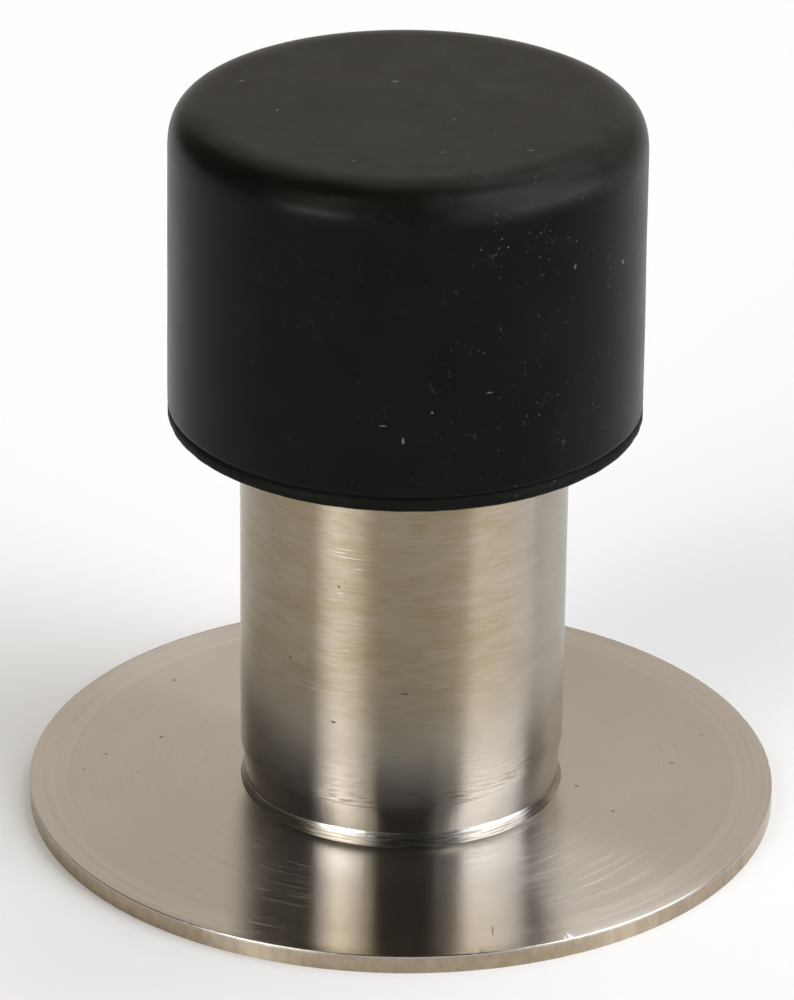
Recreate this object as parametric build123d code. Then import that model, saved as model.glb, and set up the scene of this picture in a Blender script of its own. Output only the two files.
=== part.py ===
from build123d import *
import os

# Base plate: a disc of stainless sheet
BASE_DIAMETER = 81.0
BASE_THICKNESS = 2.0
BASE_EDGE_BREAK = 0.2
FIXING_HOLE_DIAMETER = 6.5

# Post: a length of stainless tube standing on the plate
TUBE_DIAMETER = 35.0
TUBE_WALL = 2.0
TUBE_LENGTH = 70.0
TUBE_END_CHAMFER = 0.5

# Foot of the post, ground back where the weld was dressed
GROUND_HEIGHT = 4.8
GROUND_DEPTH = 0.8
GROUND_STEP = 0.2

# Weld bead round the foot, ground to a flat-faced fillet
WELD_HEIGHT = 1.7
WELD_REACH = 0.7

# Rubber cap pushed over the post, with a little draft for the mould
CAP_CROWN_DIAMETER = 50.0
CAP_MOUTH_DIAMETER = 50.4
CAP_HEIGHT = 35.0
CAP_CROWN_THICKNESS = 8.0
CAP_EDGE_RADIUS = 3.8
CAP_FIT_CLEARANCE = 0.02

# Lip at the cap's mouth, under the parting groove
LIP_HEIGHT = 1.5
LIP_RADIUS = 0.6
GROOVE_DEPTH = 0.3
GROOVE_WIDTH = 0.6

# Heights above the floor that the pieces share
PLATE_TOP = BASE_THICKNESS
TUBE_TOP = PLATE_TOP + TUBE_LENGTH
CAP_TOP = TUBE_TOP + CAP_CROWN_THICKNESS
CAP_BOTTOM = CAP_TOP - CAP_HEIGHT

# Radii that the pieces share
TUBE_RADIUS = TUBE_DIAMETER / 2
FOOT_RADIUS = TUBE_RADIUS - GROUND_DEPTH
CAP_CROWN_RADIUS = CAP_CROWN_DIAMETER / 2
CAP_MOUTH_RADIUS = CAP_MOUTH_DIAMETER / 2


def ground_radius(height):
    """Radius of the ground foot at a height above the plate."""
    taper = (GROUND_DEPTH - GROUND_STEP) / (GROUND_HEIGHT - GROUND_STEP)
    return FOOT_RADIUS + taper * height


def cap_radius(height):
    """Radius of the cap's drafted side at a height above its mouth."""
    return CAP_MOUTH_RADIUS - (CAP_MOUTH_RADIUS - CAP_CROWN_RADIUS) * height / CAP_HEIGHT


def turned(points):
    """Solid turned round the upright axis from a straight-sided section of (radius, height) points."""
    section = Plane.XZ * make_face(Polyline(*points, close=True))
    return revolve(section, axis=Axis.Z)


def base_plate():
    """Disc with a broken top edge and one hole for the floor screw."""
    with BuildPart() as plate:
        Cylinder(BASE_DIAMETER / 2, BASE_THICKNESS, align=(Align.CENTER, Align.CENTER, Align.MIN))
        chamfer(plate.edges().filter_by(GeomType.CIRCLE).sort_by(Axis.Z)[-1], BASE_EDGE_BREAK)
        Hole(FIXING_HOLE_DIAMETER / 2)
    return plate.part


def post_tube():
    """Tube with a tapered, ground foot and a chamfered top end."""
    inner = TUBE_RADIUS - TUBE_WALL
    ground_top = PLATE_TOP + GROUND_HEIGHT
    return turned([
        (inner, PLATE_TOP),
        (FOOT_RADIUS, PLATE_TOP),
        (TUBE_RADIUS - GROUND_STEP, ground_top - GROUND_STEP),
        (TUBE_RADIUS, ground_top),
        (TUBE_RADIUS, TUBE_TOP - TUBE_END_CHAMFER),
        (TUBE_RADIUS - TUBE_END_CHAMFER, TUBE_TOP),
        (inner, TUBE_TOP),
    ])


def weld_bead():
    """Ring of weld metal that fills the corner between the ground foot and the plate."""
    return turned([
        (FOOT_RADIUS, PLATE_TOP),
        (FOOT_RADIUS + WELD_REACH, PLATE_TOP),
        (ground_radius(WELD_HEIGHT), PLATE_TOP + WELD_HEIGHT),
    ])


def parting_groove():
    """Ring of V section that cuts the parting groove just above the cap's lip."""
    middle = CAP_BOTTOM + LIP_HEIGHT
    side = cap_radius(LIP_HEIGHT)
    return turned([
        (side - GROOVE_DEPTH, middle),
        (side + GROOVE_DEPTH, middle - GROOVE_WIDTH),
        (side + GROOVE_DEPTH, middle + GROOVE_WIDTH),
    ])


def rubber_cap():
    """Thick cap with a blind socket for the tube, a rounded top edge and a lipped mouth."""
    socket = TUBE_RADIUS + CAP_FIT_CLEARANCE
    body = turned([
        (0, TUBE_TOP),
        (socket, TUBE_TOP),
        (socket, CAP_BOTTOM),
        (CAP_MOUTH_RADIUS, CAP_BOTTOM),
        (CAP_CROWN_RADIUS, CAP_TOP),
        (0, CAP_TOP),
    ])
    body = fillet(body.edges().group_by(Axis.Z)[-1], CAP_EDGE_RADIUS)
    body = fillet(body.edges().group_by(Axis.Z)[0].sort_by(SortBy.RADIUS)[-1], LIP_RADIUS)
    return body - parting_groove()


def main():
    os.makedirs("parts", exist_ok=True)
    for build in (base_plate, post_tube, weld_bead, rubber_cap):
        export_step(build(), f"parts/{build.__name__}.step")


main()
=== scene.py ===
import math

import bpy
from mathutils import Matrix, Vector, noise


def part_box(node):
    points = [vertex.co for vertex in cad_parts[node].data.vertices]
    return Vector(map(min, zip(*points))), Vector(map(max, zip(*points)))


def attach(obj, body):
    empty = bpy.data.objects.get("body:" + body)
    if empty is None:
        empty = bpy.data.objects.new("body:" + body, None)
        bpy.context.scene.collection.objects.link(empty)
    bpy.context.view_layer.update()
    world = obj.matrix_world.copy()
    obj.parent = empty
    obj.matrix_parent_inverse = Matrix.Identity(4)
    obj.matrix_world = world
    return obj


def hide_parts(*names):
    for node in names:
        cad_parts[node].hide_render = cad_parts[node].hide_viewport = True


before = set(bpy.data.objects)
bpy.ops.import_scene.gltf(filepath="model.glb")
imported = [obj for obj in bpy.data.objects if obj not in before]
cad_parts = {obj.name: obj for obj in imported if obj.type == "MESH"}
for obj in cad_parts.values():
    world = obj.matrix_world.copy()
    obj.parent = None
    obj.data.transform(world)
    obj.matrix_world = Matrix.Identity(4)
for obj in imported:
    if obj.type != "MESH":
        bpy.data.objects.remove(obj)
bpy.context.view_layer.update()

MM = 0.001
TURN = 2 * math.pi

# Sizes taken from the frame, in metres
PLATE_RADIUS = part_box("base_plate")[1].x
PLATE_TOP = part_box("base_plate")[1].z
TUBE_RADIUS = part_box("post_tube")[1].x
TUBE_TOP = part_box("post_tube")[1].z
WELD_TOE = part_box("weld_bead")[1].x
WELD_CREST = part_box("weld_bead")[1].z
CAP_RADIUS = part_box("rubber_cap")[1].x
CAP_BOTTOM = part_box("rubber_cap")[0].z
CAP_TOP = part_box("rubber_cap")[1].z

# Plate: its hole, its edge and the roughness of its cut rim
HOLE_RADIUS = 3.25 * MM
PLATE_EDGE_ROUND = 0.12 * MM
CUT_DEPTH = 0.02 * MM
CUT_WAVES = 60
NICK_DEPTH = 0.12 * MM
NICK_START = 0.35
PLATE_SEGMENTS = 1080

# Tube: its ends, and the foot ground back where the weld was dressed
TUBE_WALL = 2.0 * MM
TUBE_END_CHAMFER = 0.5 * MM
GROUND_HEIGHT = 4.8 * MM
GROUND_DEPTH = 0.8 * MM
GROUND_STEP = 0.2 * MM
GROUND_EDGE = PLATE_TOP + GROUND_HEIGHT
GROUND_RISE = 1.3 * MM
RISE_TURN = math.radians(60)
RISE_POWER = 12
GROUND_CURVE = 1.5
FOOT_SWELL = 0.02 * MM
FOOT_OVAL = 0.13 * MM
LEVEL_AGAIN = 14.0 * MM
FOOT_ROWS = 20
LEVEL_ROWS = 10
POST_ROWS = 20
TUBE_SEGMENTS = 720

# Weld: its legs, its thinner sides and the streaks along its face
WELD_LEG = 0.85 * (WELD_CREST - PLATE_TOP)
WELD_SPREAD = 0.1 * MM
WELD_THIN = 0.52
WELD_THIN_LESS_RIGHT = 0.1
WELD_THIN_POWER = 3
WELD_HOLLOW = 0.05 * MM
WELD_STREAK = 0.006 * MM
STREAK_WAVES = 4
STREAK_LAYER = 20
STREAK_STEP = 1.7
WELD_ROWS = 24
WELD_BACK_ROWS = 5
WELD_SEGMENTS = 720

# Cap: its taper, its edge curve, its mouth and the swell of its sides
CAP_TAPER = 0.2 * MM
CAP_EDGE_REACH = 5.1 * MM
CAP_EDGE_EASE = 0.75
CAP_FLAT_START = 1.1 * CAP_EDGE_REACH
SOCKET_CLEARANCE = 0.02 * MM
LIP_HEIGHT = 1.5 * MM
LIP_RADIUS = 0.6 * MM
LIP_TOP = CAP_BOTTOM + LIP_HEIGHT
GROOVE_DEPTH = 0.3 * MM
GROOVE_WIDTH = 0.6 * MM
SWELL_DEPTH = 0.06 * MM
SWELL_SINK = 0.04 * MM
SWELL_SIZE = 12 * MM
CAP_SEGMENTS = 360

# Uneven edges: how far each strays, as a share for nicks and weld, then its noise's waves and layer
EDGE_WANDER = (0.35 * MM, 2.2, 5.0)
EDGE_JITTER = (0.06 * MM, 30, 6.0)
NICKS = (1.0, 25, 3.0)
WELD_WAVER = (0.06, 3, 9.0)
TOE_WANDER = (0.03 * MM, 6, 2.0)
LIP_WAVER = (0.08 * MM, 14, 4.0)

# Angle past which an edge between two faces is drawn sharp, in degrees
PLATE_CREASE = 35
TUBE_CREASE = 25
WELD_CREASE = 60
CAP_CREASE = 50

# Camera, from the outline in the photograph
IMAGE_HEIGHT = 1000
FOCAL_PIXELS = 5477.3
SENSOR_MM = 36.0
CAMERA_ELEVATION = math.radians(25.26)
CAMERA_ROLL = math.radians(0.63)
CAMERA_DISTANCE = 584.7 * MM
CAMERA_AIM = Vector((-0.75, 0.0, 34.67)) * MM


# Turned meshes

def straight(start, end, steps):
    """Points from start up to, but not including, end."""
    return [(start[0] + (end[0] - start[0]) * i / steps, start[1] + (end[1] - start[1]) * i / steps)
            for i in range(steps)]


def bend(centre, radius, first, last, steps):
    """Points of an arc from one angle to another, in degrees, the last one included."""
    angles = [math.radians(first + (last - first) * i / steps) for i in range(steps + 1)]
    return [(centre[0] + radius * math.cos(a), centre[1] + radius * math.sin(a)) for a in angles]


def eased_corner(corner, reach, steps):
    """Rounded corner from an upright side over to a level top, whose curvature comes and goes gently."""
    points = [(0.0, 0.0)]
    for i in range(steps):
        share = (i + 0.5) / steps
        lean = math.pi / 2 * (share - CAP_EDGE_EASE * math.sin(TURN * share) / TURN)
        points.append((points[-1][0] + math.sin(lean), points[-1][1] + math.cos(lean)))
    size = reach / points[-1][1]
    return [(corner[0] - size * inward, corner[1] - reach + size * up) for inward, up in points]


def turned(name, section, segments, crease):
    """Closed mesh turned round the upright axis from section(angle), a ring of (radius, height) points.

    A section that starts and ends on the axis closes there; any other closes on itself.
    """
    rings = [section(TURN * i / segments) for i in range(segments)]
    ends = [(0, 0, rings[0][0][1]), (0, 0, rings[0][-1][1])]
    on_axis = rings[0][0][0] == 0
    if on_axis:
        rings = [ring[1:-1] for ring in rings]
    count = len(rings[0])
    points = []
    for i, ring in enumerate(rings):
        angle = TURN * i / segments
        points += [(radius * math.sin(angle), -radius * math.cos(angle), height) for radius, height in ring]
    faces = []
    for i in range(segments):
        here = i * count
        there = (i + 1) % segments * count
        for j in range(count - 1 if on_axis else count):
            k = (j + 1) % count
            faces.append((here + j, there + j, there + k, here + k))
        if on_axis:
            faces.append((segments * count, there, here))
            faces.append((segments * count + 1, here + count - 1, there + count - 1))
    mesh = bpy.data.meshes.new(name)
    mesh.from_pydata(points + ends if on_axis else points, [], faces)
    mesh.shade_smooth()
    mesh.set_sharp_from_angle(angle=math.radians(crease))
    mesh.update()
    piece = bpy.data.objects.new(name, mesh)
    bpy.context.collection.objects.link(piece)
    return piece


def uneven(angle, depth, waves, layer):
    """Smooth noise, up to depth, that closes on itself round the girth; waves sets how fast it changes."""
    return depth * noise.noise(Vector((math.cos(angle) * waves, math.sin(angle) * waves, layer)))


def lobes(angle):
    """The dressed foot isn't quite round: the grinder took more off the front and the back."""
    return FOOT_SWELL - FOOT_OVAL * math.cos(2 * angle)


def ground_edge(angle):
    """Height at which the grinding stops: it wanders a little, and climbs on the right of the front."""
    climb = GROUND_RISE * max(0.0, math.cos(angle - RISE_TURN)) ** RISE_POWER
    wander = uneven(angle, *EDGE_WANDER) + uneven(angle, *EDGE_JITTER)
    return GROUND_EDGE + climb + wander


def ground_radius(angle, height):
    """Outside of the ground foot, which tapers down to the plate, more so near it."""
    top = ground_edge(angle) - GROUND_STEP
    share = max(0.0, top - height) / (top - PLATE_TOP)
    return TUBE_RADIUS - GROUND_STEP - (GROUND_DEPTH - GROUND_STEP - lobes(angle)) * share ** GROUND_CURVE


def foot_point(angle, height):
    """Point on the tube's outside for a level row, moved so that the rows follow the ground edge."""
    edge = ground_edge(angle)
    if height >= GROUND_EDGE:
        share = min(1.0, (height - GROUND_EDGE) / (LEVEL_AGAIN - GROUND_EDGE))
        return TUBE_RADIUS, height + (edge - GROUND_EDGE) * (1 - share)
    drop = GROUND_EDGE - height
    if drop <= GROUND_STEP:
        return TUBE_RADIUS - drop, edge - drop
    share = (drop - GROUND_STEP) / (GROUND_HEIGHT - GROUND_STEP)
    low = edge - GROUND_STEP + (PLATE_TOP - edge + GROUND_STEP) * share
    return ground_radius(angle, low), low


def make_plate():
    """Disc with one hole, a rounded top edge and a roughly cut, slightly nicked rim."""
    shoulder = PLATE_RADIUS - PLATE_EDGE_ROUND
    drop = PLATE_TOP - PLATE_EDGE_ROUND
    profile = [(HOLE_RADIUS, 0)]
    profile += straight((HOLE_RADIUS, PLATE_TOP), (shoulder, PLATE_TOP), steps=24)
    profile += bend((shoulder, drop), PLATE_EDGE_ROUND, first=90, last=5, steps=6)
    profile += straight((PLATE_RADIUS, drop), (PLATE_RADIUS, 0), steps=6)
    profile += straight((PLATE_RADIUS, 0), (HOLE_RADIUS, 0), steps=6)

    def worn(angle, radius, height):
        if radius <= shoulder:
            return radius, height
        cut = uneven(angle, CUT_DEPTH, CUT_WAVES, height / MM)
        nick = NICK_DEPTH * max(0.0, uneven(angle, *NICKS) - NICK_START)
        return radius - abs(cut) - nick, height

    def section(angle):
        return [worn(angle, *point) for point in reversed(profile)]
    return turned("plate_disc", section, PLATE_SEGMENTS, PLATE_CREASE)


def make_tube():
    """Tube with a ground, tapered foot and a chamfered top end inside the cap."""
    inner = TUBE_RADIUS - TUBE_WALL
    shoulder = TUBE_TOP - TUBE_END_CHAMFER
    step = GROUND_EDGE - GROUND_STEP
    inside = straight((inner, TUBE_TOP), (inner, PLATE_TOP), steps=8) + [(inner, PLATE_TOP)]
    heights = [PLATE_TOP + (step - PLATE_TOP) * i / FOOT_ROWS for i in range(FOOT_ROWS)]
    heights += [step, GROUND_EDGE - GROUND_STEP / 2, GROUND_EDGE]
    heights += [GROUND_EDGE + (LEVEL_AGAIN - GROUND_EDGE) * i / LEVEL_ROWS for i in range(1, LEVEL_ROWS)]
    heights += [LEVEL_AGAIN + (shoulder - LEVEL_AGAIN) * i / POST_ROWS for i in range(POST_ROWS + 1)]
    end = [(TUBE_RADIUS - TUBE_END_CHAMFER, TUBE_TOP)]

    def section(angle):
        return inside + [foot_point(angle, height) for height in heights] + end
    return turned("tube_post", section, TUBE_SEGMENTS, TUBE_CREASE)


def make_weld():
    """Ring that fills the corner at the foot, with a slightly hollow face and fine streaks along it."""
    def section(angle):
        side = math.sin(angle)
        thinner = (WELD_THIN - WELD_THIN_LESS_RIGHT * side) * abs(side) ** WELD_THIN_POWER
        crest = PLATE_TOP + WELD_LEG * (1 - thinner + uneven(angle, *WELD_WAVER))
        toe = WELD_TOE + WELD_SPREAD + uneven(angle, *TOE_WANDER)
        brow = ground_radius(angle, crest)
        face = []
        for row in range(WELD_ROWS + 1):
            share = row / WELD_ROWS
            streak = uneven(angle, WELD_STREAK, STREAK_WAVES, STREAK_LAYER + STREAK_STEP * row)
            out = toe + (brow - toe) * share - WELD_HOLLOW * math.sin(math.pi * share) + streak
            face.append((out, PLATE_TOP + (crest - PLATE_TOP) * share))
        back = [crest + (PLATE_TOP - crest) * i / WELD_BACK_ROWS for i in range(1, WELD_BACK_ROWS + 1)]
        return face + [(ground_radius(angle, height) - WELD_HOLLOW, height) for height in back]
    return turned("weld_ring", section, WELD_SEGMENTS, WELD_CREASE)


def make_cap():
    """Moulded cap: socket, lipped mouth, parting groove, tapered side, rounded top edge, flat crown."""
    socket = TUBE_RADIUS + SOCKET_CLEARANCE
    crown = CAP_RADIUS - CAP_TAPER
    half = GROOVE_WIDTH / 2
    inside = [(0, TUBE_TOP)]
    inside += straight((socket / 2, TUBE_TOP), (socket, TUBE_TOP), steps=2)
    inside += straight((socket, TUBE_TOP), (socket, CAP_BOTTOM), steps=10)
    inside += straight((socket, CAP_BOTTOM), (CAP_RADIUS - LIP_RADIUS, CAP_BOTTOM), steps=4)
    lip_middle = (CAP_RADIUS - LIP_RADIUS, CAP_BOTTOM + LIP_RADIUS)
    outside = bend(lip_middle, LIP_RADIUS, first=-90, last=0, steps=8)
    outside += [(CAP_RADIUS, LIP_TOP - half), (CAP_RADIUS - GROOVE_DEPTH, LIP_TOP)]
    outside += [(CAP_RADIUS, LIP_TOP + half)]
    outside += straight((CAP_RADIUS, LIP_TOP + 2 * half), (crown, CAP_TOP - CAP_EDGE_REACH), steps=40)
    outside += eased_corner((crown, CAP_TOP), CAP_EDGE_REACH, steps=28)
    outside += straight((crown - CAP_FLAT_START, CAP_TOP), (0, CAP_TOP), steps=20)
    outside += [(0, CAP_TOP)]

    def moulded(angle, radius, height):
        """The side and top swell and sink a little, and the lip wavers."""
        place = Vector((math.cos(angle) * radius, math.sin(angle) * radius, height)) / SWELL_SIZE
        swell = SWELL_DEPTH * noise.noise(place) - SWELL_SINK
        if height < LIP_TOP:
            swell += uneven(angle, *LIP_WAVER)
        side = min(1.0, max(0.0, 1 - (crown - radius) / CAP_EDGE_REACH))
        return min(radius + swell * side, CAP_RADIUS), min(height + swell * (1 - side), CAP_TOP)

    def section(angle):
        return inside + [moulded(angle, *point) for point in outside]
    return turned("buffer_cap", section, CAP_SEGMENTS, CAP_CREASE)


# Node trees

class Nodes:
    """A node tree, with short calls for the nodes that go into it."""

    def __init__(self, tree):
        self.tree = tree

    def node(self, kind, *numbered, **named):
        """Add a node; named values that are its properties are set, the others go to its inputs."""
        node = self.tree.nodes.new(kind)
        for name, value in named.items():
            if name in node.bl_rna.properties:
                setattr(node, name, value)
        for name, value in named.items():
            if name not in node.bl_rna.properties:
                self.feed(node.inputs[name], value)
        for index, value in zip(numbered[::2], numbered[1::2]):
            self.feed(node.inputs[index], value)
        return node

    def feed(self, socket, value):
        if isinstance(value, bpy.types.NodeSocket):
            self.tree.links.new(value, socket)
        else:
            socket.default_value = value

    def math(self, operation, first, second=0.0, third=0.0):
        return self.node("ShaderNodeMath", 0, first, 1, second, 2, third, operation=operation).outputs[0]

    def times(self, first, second):
        return self.math("MULTIPLY", first, second)

    def ramp(self, value, low, high, to_low=0.0, to_high=1.0, interpolation="SMOOTHSTEP"):
        """Value drawn from one range to another, and held at its ends."""
        node = self.node("ShaderNodeMapRange", Value=value, interpolation_type=interpolation, clamp=True)
        for name, number in (("From Min", low), ("From Max", high), ("To Min", to_low), ("To Max", to_high)):
            self.feed(node.inputs[name], number)
        return node.outputs["Result"]

    def fall(self, value, low, high):
        return self.ramp(value, low, high, 1.0, 0.0)

    def band(self, value, edges):
        """Share that rises between the first two edges and falls between the last two."""
        return self.times(self.ramp(value, *edges[:2]), self.fall(value, *edges[2:]))

    def mix(self, share, first, second, blend="MIX"):
        node = self.node("ShaderNodeMix", data_type="RGBA", blend_type=blend)
        self.feed(node.inputs["Factor"], share)
        self.feed(node.inputs[6], first)
        self.feed(node.inputs[7], second)
        return node.outputs[2]


# Finishes

# Turns to the right from the front
TO_FRONT = 0
TO_RIGHT = math.pi / 2

# How much of a noise's spread a ramp takes up
SOFT = (0.2, 0.8)
EVEN = (0.3, 0.7)
FIRM = (0.35, 0.65)
NOISE_MIDDLE = 0.5

# Small marks: where their edges fade, in half sizes, and how deep they reach into a top or a side
MARK_EDGE = (0.5, 1.2)
TOP_REACH = 1
SIDE_REACH = 2

# Lint: where it lies, and how fast those places change beside its own curves
LINT_PLACES = (0.56, 0.66)
LINT_SPREAD = 0.8

# Brushing: how far the gloss spreads across the grooves, and which way
BRUSH_SPREAD = 1.0
BRUSH_TURN = 0.25


class Finish(Nodes):
    """A procedural material with one principled shader, whose patterns lie round the upright axis."""

    def __init__(self, name):
        self.material = bpy.data.materials.new(name)
        self.material.use_nodes = True
        super().__init__(self.material.node_tree)
        self.shader = self.tree.nodes["Principled BSDF"]
        place = self.node("ShaderNodeTexCoord").outputs["Object"]
        self.place = self.vector("SCALE", place, Scale=1 / MM)
        parts = self.node("ShaderNodeSeparateXYZ", Vector=self.place).outputs
        flat = self.node("ShaderNodeCombineXYZ", X=parts["X"], Y=parts["Y"]).outputs["Vector"]
        self.radius = self.length(flat)
        self.spoke = self.vector("NORMALIZE", flat)
        self.height = parts["Z"]

    def add(self, *terms):
        """Sum of (value, weight) terms."""
        total = 0.0
        for value, weight in terms:
            total = self.math("MULTIPLY_ADD", value, weight, total)
        return total

    def vector(self, operation, first, second=(0, 0, 0), third=(0, 0, 0), **named):
        node = self.node("ShaderNodeVectorMath", 0, first, 1, second, 2, third, operation=operation, **named)
        return node.outputs["Vector"]

    def length(self, vector):
        return self.node("ShaderNodeVectorMath", 0, vector, operation="LENGTH").outputs["Value"]

    def toward(self, turn):
        """Cosine of the angle round the axis from a direction, given as a turn to the right."""
        direction = (math.sin(turn), -math.cos(turn), 0)
        node = self.node("ShaderNodeVectorMath", 0, self.spoke, 1, direction, operation="DOT_PRODUCT")
        return node.outputs["Value"]

    def noise(self, where, scale, detail=2.0, roughness=0.5):
        node = self.node("ShaderNodeTexNoise", Vector=where, Scale=scale, Detail=detail, Roughness=roughness)
        return node.outputs["Fac"]

    def round_lines(self, across, lines, around, detail=3.0):
        """Noise drawn out round the axis: fine across, in lines per millimetre, and slow round the girth."""
        along = self.vector("SCALE", self.spoke, Scale=around)
        up = self.node("ShaderNodeCombineXYZ", Z=self.times(across, lines)).outputs["Vector"]
        return self.noise(self.vector("ADD", along, up), 1.0, detail)

    def spots(self, marks):
        """Share from 0 to 1 of small marks, each given by its middle and its half sizes in millimetres."""
        share = 0.0
        for middle, half in marks:
            stretch = tuple(1 / size for size in half)
            shift = tuple(-place / size for place, size in zip(middle, half))
            away = self.length(self.vector("MULTIPLY_ADD", self.place, stretch, shift))
            share = self.math("MAXIMUM", share, self.fall(away, *MARK_EDGE))
        return share

    def specks(self, cell, share, size):
        """Scattered specks: a share of the cells, cell millimetres wide, hold one of up to that size."""
        node = self.node("ShaderNodeTexVoronoi", Vector=self.place, Scale=1 / cell)
        pick = self.node("ShaderNodeSeparateColor", Color=node.outputs["Color"]).outputs
        reach = self.times(pick["Green"], size / cell)
        near = self.math("LESS_THAN", node.outputs["Distance"], reach)
        return self.times(near, self.math("LESS_THAN", pick["Red"], share))

    def fibres(self, scale, width):
        """Thin curved lines, like lint, in a few places."""
        away = self.math("SUBTRACT", self.noise(self.place, scale, detail=1.0), NOISE_MIDDLE)
        away = self.math("ABSOLUTE", away)
        places = self.ramp(self.noise(self.place, LINT_SPREAD * scale), *LINT_PLACES)
        return self.times(self.fall(away, 0.0, width), places)

    def between(self, share, greys, tint):
        """Colour between a darker and a lighter grey of one tint."""
        return self.mix(share, grey(greys[0], tint), grey(greys[1], tint))

    def over(self, colour, share, strength, mark):
        """Colour with a mark laid over it, at a strength, where share is 1."""
        return self.mix(self.times(share, strength), colour, mark)

    def bump(self, height, depth=1.0):
        """Bump from a height in units of depth, which is in millimetres."""
        return self.node("ShaderNodeBump", Height=height, Strength=1.0, Distance=depth * MM).outputs["Normal"]

    def set(self, **values):
        for name, value in values.items():
            self.feed(self.shader.inputs[name.replace("_", " ")], value)

    def brushed_round(self):
        """Grooves run round the axis, so the gloss spreads across them."""
        tangent = self.node("ShaderNodeTangent", direction_type="RADIAL", axis="Z").outputs["Tangent"]
        self.set(Tangent=tangent, Anisotropic=BRUSH_SPREAD, Anisotropic_Rotation=BRUSH_TURN)


# Tints of the steel, of its brown marks, of the brown painted reflection on the tube, of the dressed weld and
# of its cut edge
STEEL = (1.0, 0.94, 0.86)
BROWN_TINT = (1.0, 0.80, 0.48)
PAINTED_REFLECTION_TINT = (1.0, 0.85, 0.64)
DRESSED = (1.0, 0.91, 0.78)
CUT_EDGE = (1.0, 0.81, 0.58)


def grey(level, tint=STEEL):
    return (level * tint[0], level * tint[1], level * tint[2], 1.0)


def top_marks(marks, level):
    """Marks on a level top, each given by its place and half sizes, in millimetres."""
    return [((x, y, level / MM), (wide, long, TOP_REACH)) for x, y, wide, long in marks]


def side_marks(marks):
    """Marks on an upright side, each given by its place, half width and half height, in millimetres."""
    return [((x, y, z), (wide, SIDE_REACH, tall)) for x, y, z, wide, tall in marks]


# Plate's finish: its pits, its outer ring and rim in millimetres, its arcs, its greys and its roughness
PITS = [(-32.4, 3.1, 0.2, 0.2), (-26.5, 7.2, 0.24, 0.24), (-34.6, -0.5, 0.14, 0.14),
        (-28.7, -1.0, 0.12, 0.12), (-21.4, 1.9, 0.12, 0.12), (-25.6, 21.0, 0.2, 0.25),
        (19.1, -3.2, 0.22, 0.22), (22.9, -8.8, 0.2, 0.2), (33.3, 9.1, 0.14, 0.18),
        (29.7, 2.4, 0.35, 0.15), (9.65, -34.95, 0.09, 1.1)]
PIT_GREY = 0.05
PIT_STRENGTH = 0.7
OUTER_RING = (36.2, 36.7)
RING_ROUGHNESS = 0.01
RIM_TOP = (1.7, 1.78)
RIM_GRAIN = (1.0, 1.0, 0.5)
RIM_GREYS = (0.34, 0.42)
RIM_BUMP = 0.02
ARC_PATCHES = (0.38, 0.56)
ARC_SIDES = (0.24, 0.38)
ARC_FRONT = (0.4, 0.8)
ARC_LINES = (0.53, 0.66)
ARC_ROUGHNESS = 0.07
ARC_DULLNESS = 0.13
PLATE_GREYS = (0.41, 0.48)
PLATE_SHADE = (0.15, 0.85)
PLATE_ROUGHNESS = (0.16, 0.19)
FINE_BUMP = 0.0006
RING_BUMP = 0.0016


def plate_arcs(finish):
    """Broken arcs on the front of the plate, on either side of its middle."""
    sparse = finish.ramp(finish.noise(finish.place, scale=0.12), *ARC_PATCHES)
    beside = finish.ramp(finish.math("ABSOLUTE", finish.toward(TO_RIGHT)), *ARC_SIDES)
    ahead = finish.ramp(finish.toward(TO_FRONT), *ARC_FRONT)
    sparse = finish.times(sparse, finish.times(beside, ahead))
    lines = finish.round_lines(finish.radius, lines=2.2, around=2.5)
    return finish.times(finish.ramp(lines, *ARC_LINES), sparse)


def plate_steel():
    """Disc brushed in circles, with a turned outer ring, a few pits and a dull, rough cut rim."""
    finish = Finish("plate_steel")
    fine = finish.round_lines(finish.radius, lines=7.0, around=3.0)
    cloud = finish.noise(finish.place, scale=0.06, detail=3.0)
    outer = finish.ramp(finish.radius, *OUTER_RING)
    rings = finish.ramp(finish.round_lines(finish.radius, lines=1.6, around=0.8), *EVEN)
    rings = finish.times(rings, outer)
    arcs = plate_arcs(finish)
    pits = finish.spots(top_marks(PITS, PLATE_TOP))
    rim = finish.fall(finish.height, *RIM_TOP)
    drawn = finish.vector("MULTIPLY", finish.place, RIM_GRAIN)
    mottle = finish.noise(drawn, scale=0.9, detail=4.0, roughness=0.6)

    shade = finish.add((fine, 0.4), (cloud, 0.5), (rings, 0.38))
    colour = finish.between(finish.ramp(shade, *PLATE_SHADE), PLATE_GREYS, STEEL)
    colour = finish.over(colour, pits, PIT_STRENGTH, grey(PIT_GREY, BROWN_TINT))
    cut = finish.between(finish.ramp(mottle, *FIRM), RIM_GREYS, CUT_EDGE)
    colour = finish.mix(rim, colour, cut)
    rough = finish.ramp(fine, *SOFT, *PLATE_ROUGHNESS)
    rough = finish.add((rough, 1.0), (arcs, ARC_ROUGHNESS), (outer, RING_ROUGHNESS))
    lines = finish.add((fine, FINE_BUMP), (rings, RING_BUMP), (mottle, finish.times(rim, RIM_BUMP)))
    metal = finish.math("MULTIPLY_ADD", arcs, -ARC_DULLNESS, 1.0)
    finish.set(Base_Color=colour, Metallic=metal, Roughness=rough, Normal=finish.bump(lines))
    finish.brushed_round()
    return finish.material
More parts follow.
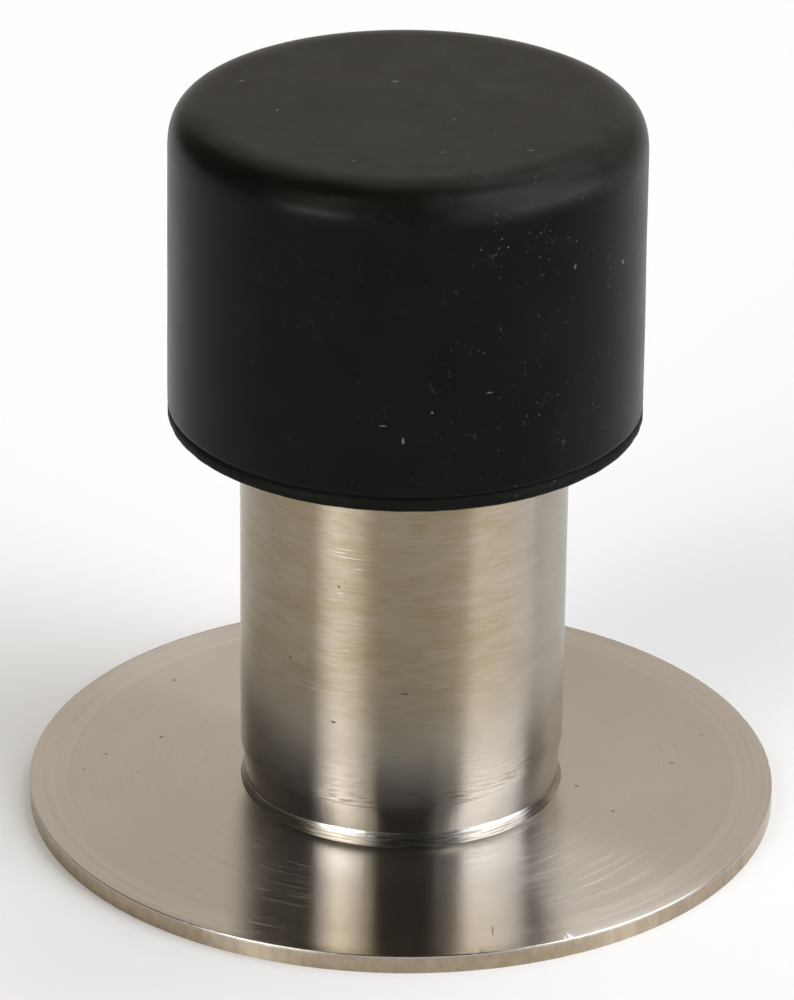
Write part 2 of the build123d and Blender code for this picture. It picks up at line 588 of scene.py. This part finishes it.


# Tube's finish: marks on its front, heights of its painted reflection and grinding in millimetres, greys and
# roughness
SCRATCHES = [(-5.5, -16.6, 35.75, 2.0, 0.06), (-6.2, -16.4, 36.65, 1.2, 0.06),
             (-6.7, -16.2, 36.2, 0.7, 0.06), (-4.6, -16.9, 34.55, 0.6, 0.06),
             (-6.6, -16.2, 31.5, 0.5, 0.06), (-6.0, -16.4, 24.9, 0.4, 0.06),
             (-9.4, -14.8, 19.6, 0.5, 0.06)]
SCRATCH_GREY = 0.5
SCRATCH_STRENGTH = 0.6
FLECKS = [(-6.7, -16.2, 32.2, 0.14, 0.16), (0.3, -17.5, 20.4, 0.5, 0.09),
          (-11.8, -13.0, 22.3, 0.12, 0.14), (-7.2, -15.9, 16.2, 0.3, 0.14)]
FLECK_GREY = 0.06
PAINTED_REFLECTION_RISE = (6.5, 24.0)
PAINTED_REFLECTION_WANDER = 3.0
PAINTED_REFLECTION_RIGHT = (0.55, 0.9)
PAINTED_REFLECTION_RIGHT_SHARE = 0.35
DASH_HEIGHTS = (6.7, 7.0, 7.4, 9.4)
DASH_LINES = (0.5, 0.64)
DASH_GREY = 0.12
DASH_STRENGTH = 0.55
GRIME_HEIGHTS = (6.8, 8.0, 9.0, 20.0)
GRIME_LINES = (0.42, 0.62)
GRIME_GREY = 0.24
GRIME_STRENGTH = 0.25
GRIME_DULLNESS = 0.06
BRIGHT_GREYS = (0.42, 0.465)
PAINTED_REFLECTION_GREYS = (0.27, 0.345)
TUBE_ROUGHNESS = (0.17, 0.19)
BRUSHED_RISE = (9.0, 18.0)
BRUSHED_ROUGHNESS = 0.075
BRUSHED_BUMP = (FINE_BUMP, 0.012)


def height_above_climb(finish):
    """Height that lags behind where the ground edge climbs, so that marks follow that edge."""
    climb = finish.math("POWER", finish.math("MAXIMUM", finish.toward(RISE_TURN), 0.0), RISE_POWER)
    return finish.math("MULTIPLY_ADD", climb, -GROUND_RISE / MM, finish.height)


def tube_steel():
    """Tube brushed round its girth, bright at the foot; above it a painted reflection of a brown surface
    below darkens and browns the steel, less on its right side.
    """
    finish = Finish("tube_steel")
    fine = finish.round_lines(finish.height, lines=7.0, around=5.0)
    smear = finish.round_lines(finish.height, lines=0.8, around=2.6)
    blotches = finish.round_lines(finish.height, lines=0.3, around=4.0, detail=4.0)
    streaks = finish.round_lines(finish.height, lines=4.2, around=7.0)
    shade = finish.add((streaks, 0.38), (smear, 0.26), (blotches, 0.36))
    # Painted reflection: above the foot the steel's colour is darkened and browned, less on its right side,
    # standing in for a reflected brown surface below
    painted_reflection = finish.ramp(finish.add((finish.height, 1.0), (smear, PAINTED_REFLECTION_WANDER)), *PAINTED_REFLECTION_RISE)
    painted_reflection = finish.times(painted_reflection, finish.ramp(finish.toward(TO_RIGHT), *PAINTED_REFLECTION_RIGHT, 1.0, PAINTED_REFLECTION_RIGHT_SHARE))
    above = height_above_climb(finish)
    chatter = finish.band(above, DASH_HEIGHTS)
    dashes = finish.ramp(finish.round_lines(finish.height, lines=5.0, around=9.0), *DASH_LINES)
    dashes = finish.times(dashes, chatter)
    scratches = finish.spots(side_marks(SCRATCHES))
    flecks = finish.spots(side_marks(FLECKS))
    grime = finish.band(above, GRIME_HEIGHTS)
    grime = finish.times(grime, finish.ramp(streaks, *GRIME_LINES))

    bright = finish.between(finish.ramp(shade, *EVEN), BRIGHT_GREYS, STEEL)
    # Brown greys of the painted reflection
    reflected_brown = finish.mix(finish.ramp(shade, *EVEN), grey(PAINTED_REFLECTION_GREYS[0], BROWN_TINT), grey(PAINTED_REFLECTION_GREYS[1], PAINTED_REFLECTION_TINT))
    colour = finish.mix(painted_reflection, bright, reflected_brown)
    colour = finish.over(colour, scratches, SCRATCH_STRENGTH, grey(SCRATCH_GREY))
    colour = finish.over(colour, dashes, DASH_STRENGTH, grey(DASH_GREY, BROWN_TINT))
    colour = finish.over(colour, grime, GRIME_STRENGTH, grey(GRIME_GREY, BROWN_TINT))
    colour = finish.mix(flecks, colour, grey(FLECK_GREY))
    brushed = finish.ramp(finish.height, *BRUSHED_RISE)
    rough = finish.ramp(fine, *SOFT, *TUBE_ROUGHNESS)
    rough = finish.add((rough, 1.0), (brushed, BRUSHED_ROUGHNESS))
    lines = finish.times(fine, finish.ramp(brushed, 0.0, 1.0, *BRUSHED_BUMP))
    metal = finish.math("MULTIPLY_ADD", grime, -GRIME_DULLNESS, 1.0)
    finish.set(Base_Color=colour, Metallic=metal, Roughness=rough, Normal=finish.bump(lines))
    finish.brushed_round()
    return finish.material


# Weld's finish
WELD_GREYS = (0.17, 0.29)
WELD_ROUGHNESS = (0.16, 0.24)
WELD_BUMP = 0.001


def weld_steel():
    """Weld dressed bright, with the grinder's streaks along it."""
    finish = Finish("weld_steel")
    streaks = finish.round_lines(finish.height, lines=8.0, around=7.0)
    colour = finish.between(finish.ramp(streaks, *FIRM), WELD_GREYS, DRESSED)
    finish.set(Base_Color=colour, Metallic=1.0, Roughness=finish.ramp(streaks, *SOFT, *WELD_ROUGHNESS))
    finish.set(Normal=finish.bump(streaks, WELD_BUMP))
    return finish.material


# Cap's finish: pale marks on its top and side, its dust, the dull bloom on its top and a painted highlight on
# its edge
TOP_SCUFFS = [(-1.4, 6.3, 0.45, 0.25), (-13.5, -2.3, 0.16, 0.3), (-17.4, 5.9, 0.3, 0.2),
              (4.7, -4.3, 0.12, 0.2), (-5.5, -16.1, 0.12, 0.25), (3.5, -13.5, 0.3, 0.12),
              (12.4, -12.8, 0.4, 0.14)]
SIDE_SCUFFS = [(-0.2, -25.1, 53.1, 0.16, 0.4), (2.7, -25.0, 56.2, 0.14, 0.15),
               (-2.25, -25.0, 54.7, 0.45, 0.07), (10.1, -23.0, 73.5, 0.1, 0.12),
               (17.0, -18.4, 69.6, 0.12, 0.3), (22.1, -11.8, 67.4, 0.14, 0.3),
               (8.5, -23.6, 57.9, 0.4, 0.07)]
SCUFF_GREY = 0.2
SCUFF_STRENGTH = 0.45
DUST_RIGHT = (-0.3, 0.5)
DUST_SHARES = (0.25, 1.0)
DUST_PATCHES = (0.35, 0.6)
SPECK_GREY = 0.12
SPECK_STRENGTH = 0.36
LINT_GREY = 0.08
LINT_STRENGTH = 0.24
PAINTED_HIGHLIGHT_TURN = math.radians(37)
PAINTED_HIGHLIGHT_WIDTH = (0.8, 0.99)
PAINTED_HIGHLIGHT_PATCHES = (0.2, 0.7)
PAINTED_HIGHLIGHT_SHARES = (0.6, 1.0)
PAINTED_HIGHLIGHT_START = (75.5, 78.0)
PAINTED_HIGHLIGHT_END = (78.9, 79.7)
PAINTED_HIGHLIGHT_GREY = 0.03
PAINTED_HIGHLIGHT_STRENGTH = 0.6
BLOOM = (0.0085, 0.0087, 0.0071, 1)
BLOOM_PATCHES = (0.38, 0.62)
BLOOM_START = (79.2, 79.8)
RUBBER_DARK = (0.0032, 0.0034, 0.0026, 1)
RUBBER_LIGHT = (0.0043, 0.0044, 0.0034, 1)
RUBBER_GLOSS = 0.068
RUBBER_SHEEN = (0.74, 0.81, 0.69, 1.0)
RUBBER_ROUGHNESS = (0.29, 0.33)
RUBBER_BUMP = 0.002
DULL_LIP = (46.5, 46.9)
DULL_LIP_ROUGHNESS = 0.2


def cap_painted_highlight(finish):
    """Painted highlight: a paler patch on the right of the cap's rounded edge, where that edge catches the
    light.
    """
    facing = finish.ramp(finish.toward(PAINTED_HIGHLIGHT_TURN), *PAINTED_HIGHLIGHT_WIDTH)
    patches = finish.ramp(finish.noise(finish.place, scale=0.3), *PAINTED_HIGHLIGHT_PATCHES, *PAINTED_HIGHLIGHT_SHARES)
    painted_highlight = finish.times(facing, patches)
    painted_highlight = finish.times(painted_highlight, finish.ramp(finish.height, *PAINTED_HIGHLIGHT_START))
    return finish.times(painted_highlight, finish.fall(finish.height, *PAINTED_HIGHLIGHT_END))


def cap_rubber():
    """Moulded black rubber with a fine grain, some dust, a dull bloom on top, a few pale scuffs and a painted
    highlight on the right of its edge.
    """
    finish = Finish("cap_rubber")
    grain = finish.noise(finish.place, scale=6.0, detail=4.0, roughness=0.6)
    cloud = finish.noise(finish.place, scale=0.15, detail=3.0)
    right = finish.ramp(finish.toward(TO_RIGHT), *DUST_RIGHT, *DUST_SHARES)
    dusty = finish.times(right, finish.ramp(finish.noise(finish.place, scale=0.2), *DUST_PATCHES))
    specks = finish.times(finish.specks(cell=0.7, share=0.7, size=0.13), dusty)
    lint = finish.times(finish.fibres(scale=0.5, width=0.017), dusty)
    painted_highlight = cap_painted_highlight(finish)
    scuffs = finish.spots(top_marks(TOP_SCUFFS, CAP_TOP) + side_marks(SIDE_SCUFFS))

    colour = finish.mix(finish.ramp(cloud, *EVEN), RUBBER_DARK, RUBBER_LIGHT)
    bloom = finish.ramp(finish.noise(finish.place, scale=0.22, detail=4.0, roughness=0.65), *BLOOM_PATCHES)
    bloom = finish.times(bloom, finish.ramp(finish.height, *BLOOM_START))
    colour = finish.mix(bloom, colour, BLOOM)
    # Painted highlight: a paler patch laid over the right of the rounded edge, where it catches the light
    colour = finish.over(colour, painted_highlight, PAINTED_HIGHLIGHT_STRENGTH, grey(PAINTED_HIGHLIGHT_GREY))
    colour = finish.over(colour, lint, LINT_STRENGTH, grey(LINT_GREY))
    colour = finish.over(colour, specks, SPECK_STRENGTH, grey(SPECK_GREY))
    colour = finish.over(colour, scuffs, SCUFF_STRENGTH, grey(SCUFF_GREY))
    lip = finish.fall(finish.height, *DULL_LIP)
    rough = finish.ramp(cloud, *EVEN, *RUBBER_ROUGHNESS)
    rough = finish.add((rough, 1.0), (lip, DULL_LIP_ROUGHNESS))
    finish.set(Base_Color=colour, Roughness=rough)
    finish.set(Specular_IOR_Level=RUBBER_GLOSS, Specular_Tint=RUBBER_SHEEN)
    finish.set(Normal=finish.bump(grain, RUBBER_BUMP))
    return finish.material


def dress(piece, node, material):
    """Give a piece its finish and put it in the CAD node's place."""
    piece.data.materials.append(material)
    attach(piece, "root")
    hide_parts(node)


# Studio

FLOOR_HALF = 4.0
FLOOR_COLOUR = (0.893, 0.9, 0.91, 1)


def lit_floor():
    mesh = bpy.data.meshes.new("floor")
    corners = [(-FLOOR_HALF, -FLOOR_HALF, 0), (FLOOR_HALF, -FLOOR_HALF, 0),
               (FLOOR_HALF, FLOOR_HALF, 0), (-FLOOR_HALF, FLOOR_HALF, 0)]
    mesh.from_pydata(corners, [], [(0, 1, 2, 3)])
    floor = bpy.data.objects.new("floor", mesh)
    bpy.context.collection.objects.link(floor)
    material = bpy.data.materials.new("floor")
    material.use_nodes = True
    shader = material.node_tree.nodes["Principled BSDF"]
    shader.inputs["Base Color"].default_value = FLOOR_COLOUR
    shader.inputs["Roughness"].default_value = 1.0
    shader.inputs["Specular IOR Level"].default_value = 0.0
    mesh.materials.append(material)


# Light from round the object: degrees from the camera, to the right, with its strength and its tint
LEFT = (1.0, 0.96, 0.88)
RIGHT = (0.99, 1.0, 1.03)
WARM = (1.0, 0.91, 0.80)
ROOM = [(-180, 0.83, WARM), (-157, 0.80, WARM), (-138, 0.2, WARM), (-69, 0.06, WARM), (-65, 0.35, LEFT),
        (-46, 4.6, LEFT), (-21, 1.1, LEFT), (-17, 0.03, LEFT), (22, 0.03, RIGHT), (27, 0.3, RIGHT),
        (41, 0.45, RIGHT), (50, 3.8, RIGHT), (60, 4.2, RIGHT), (71, 4.0, RIGHT), (85, 3.3, RIGHT),
        (97, 2.2, RIGHT), (100, 0.15, WARM), (114, 0.15, WARM), (128, 0.95, WARM), (165, 0.90, WARM),
        (180, 0.83, WARM)]
BRIGHTEST = 5.0

# Panels end at this height in degrees, lower on the left, under a dim upper wall
PANEL_TOP = (56, 70)
PANEL_TILT = 0.12
UPPER_WALL = 0.12

# Brighter foot of each panel: the levels that count as one, its gain, its top in degrees, less on the right
PANEL_LEVELS = (1.0, 2.5)
DAYLIGHT = (6.2, 7.2, 9.2, 1)
DAYLIGHT_TOP = (1, 8)
DAYLIGHT_FADE = (-0.3, 0.3)
DAYLIGHT_RIGHT = 0.3

# High light on the right, behind: its strength, and the turns and heights in degrees where it starts and ends
SIDE_LIGHT = 3.2
SIDE_TURN = (92, 112, 163, 177)
SIDE_RISE = (38, 46, 58, 68)


def sines(degrees):
    return [math.sin(math.radians(angle)) for angle in degrees]


def room_walls(nodes, azimuth):
    """Colour of the light at each turn from the camera, as a share of the brightest."""
    turn = nodes.ramp(azimuth, -math.pi, math.pi, interpolation="LINEAR")
    walls = nodes.node("ShaderNodeValToRGB", Fac=turn)
    stops = walls.color_ramp.elements
    for _ in ROOM[1:-1]:
        stops.new(0.5)
    for stop, (degrees, level, tint) in zip(stops, ROOM):
        stop.position = (degrees + 180) / 360
        stop.color = grey(level / BRIGHTEST, tint)
    return walls.outputs["Color"]


def studio_world():
    """A soft-lit room: dim above, warm behind, a bright panel on each side and a high light on the right."""
    world = bpy.data.worlds.new("studio")
    bpy.context.scene.world = world
    world.use_nodes = True
    nodes = Nodes(world.node_tree)
    place = nodes.node("ShaderNodeTexCoord").outputs["Generated"]
    parts = nodes.node("ShaderNodeSeparateXYZ", Vector=place).outputs
    azimuth = nodes.math("ARCTAN2", parts["X"], nodes.times(parts["Y"], -1.0))
    walls = room_walls(nodes, azimuth)
    raised = nodes.math("MULTIPLY_ADD", parts["X"], -PANEL_TILT, parts["Z"])
    panels = nodes.ramp(walls, *(level / BRIGHTEST for level in PANEL_LEVELS))
    low = nodes.times(panels, nodes.fall(parts["Z"], *sines(DAYLIGHT_TOP)))
    low = nodes.times(low, nodes.ramp(parts["X"], *DAYLIGHT_FADE, 1.0, DAYLIGHT_RIGHT))
    light = nodes.mix(low, walls, DAYLIGHT, blend="MULTIPLY")
    upper = nodes.ramp(raised, *sines(PANEL_TOP))
    light = nodes.mix(upper, light, grey(UPPER_WALL / BRIGHTEST, WARM))
    beside = nodes.band(azimuth, [math.radians(degrees) for degrees in SIDE_TURN])
    beside = nodes.times(beside, nodes.band(parts["Z"], sines(SIDE_RISE)))
    light = nodes.mix(beside, light, grey(SIDE_LIGHT / BRIGHTEST, RIGHT))
    background = world.node_tree.nodes["Background"]
    nodes.feed(background.inputs["Color"], light)
    nodes.feed(background.inputs["Strength"], BRIGHTEST)


def photo_camera():
    data = bpy.data.cameras.new("camera")
    data.sensor_width = SENSOR_MM
    data.lens = FOCAL_PIXELS * SENSOR_MM / IMAGE_HEIGHT
    camera = bpy.data.objects.new("camera", data)
    bpy.context.collection.objects.link(camera)
    back = Vector((0, -math.cos(CAMERA_ELEVATION), math.sin(CAMERA_ELEVATION)))
    tilt = Matrix.Rotation(math.pi / 2 - CAMERA_ELEVATION, 4, "X")
    roll = Matrix.Rotation(CAMERA_ROLL, 4, "Z")
    camera.matrix_world = Matrix.Translation(CAMERA_AIM + back * CAMERA_DISTANCE) @ tilt @ roll
    bpy.context.scene.camera = camera


dress(make_plate(), "base_plate", plate_steel())
dress(make_tube(), "post_tube", tube_steel())
dress(make_weld(), "weld_bead", weld_steel())
dress(make_cap(), "rubber_cap", cap_rubber())
lit_floor()
studio_world()
photo_camera()
bpy.context.scene.view_settings.view_transform = "Standard"
